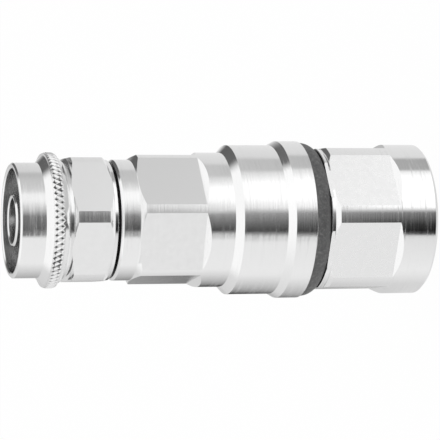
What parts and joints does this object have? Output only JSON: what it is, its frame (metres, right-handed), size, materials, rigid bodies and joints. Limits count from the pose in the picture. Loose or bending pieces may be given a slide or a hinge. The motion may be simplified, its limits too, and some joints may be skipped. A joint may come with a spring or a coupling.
{
  "type": "coaxial connector plug",
  "caption": "Straight N-type coaxial plug with a knurled hex coupling nut, a stepped housing with wrench flats, and a hex clamp nut with a split collet for corrugated feeder cable.",
  "frame": {"origin": "centre of the clamp nut's rear face, where the part stands on its cable end", "axes": "+Z along the connector's axis, from the cable end to the mating face; -Y is the side the picture looks at"},
  "size_m": [0.0249, 0.0248, 0.0659],
  "materials": {
    "nickel_plate": "bright plate on turned and milled brass",
    "silver_plate": "silver plate",
    "spring_metal": "plain wire",
    "washer_brass": "plain brass",
    "ptfe": "machined white plastic",
    "silicone": "moulded silicone",
    "seal_rubber": "moulded rubber"
  },
  "bodies": {
    "housing": {"housing": "nickel_plate", "outer_contact": "silver_plate", "inner_seal": "seal_rubber", "interface_gasket": "silicone", "center_pin": "silver_plate", "contact_socket": "silver_plate", "front_bead": "ptfe", "bead_retainer": "silver_plate", "rear_bead": "ptfe", "flare_cone": "silver_plate"},
    "snap_ring": {"snap_ring": "spring_metal"},
    "coupling_nut": {"coupling_nut": "nickel_plate"},
    "clamp_insert": {"collet": "silver_plate", "collet_spring": "spring_metal", "thrust_washer": "washer_brass", "cable_gasket": "seal_rubber", "rear_washer": "washer_brass", "retaining_clip": "spring_metal"},
    "clamp_nut": {"clamp_nut": "nickel_plate", "seal_ring": "seal_rubber"}
  },
  "joints": [
    {"name": "nut_float", "type": "slide", "parent": "housing", "child": "snap_ring", "axis": [0, 0, 1], "range_m": [0, 0.0008]},
    {"name": "nut_turn", "type": "hinge", "parent": "snap_ring", "child": "coupling_nut", "pos_m": [0, 0, 0.058], "axis": [0, 0, 1], "continuous": true},
    {"name": "clamp_travel", "type": "slide", "parent": "housing", "child": "clamp_insert", "axis": [0, 0, -1], "range_m": [0, 0.007]},
    {"name": "clamp_turn", "type": "hinge", "parent": "clamp_insert", "child": "clamp_nut", "pos_m": [0, 0, 0.009], "axis": [0, 0, -1], "range_deg": [0, 2519]}
  ],
  "couplings": [
    {"joint": "clamp_travel", "follows": "clamp_turn", "m_per_rad": 0.00015915}
  ]
}
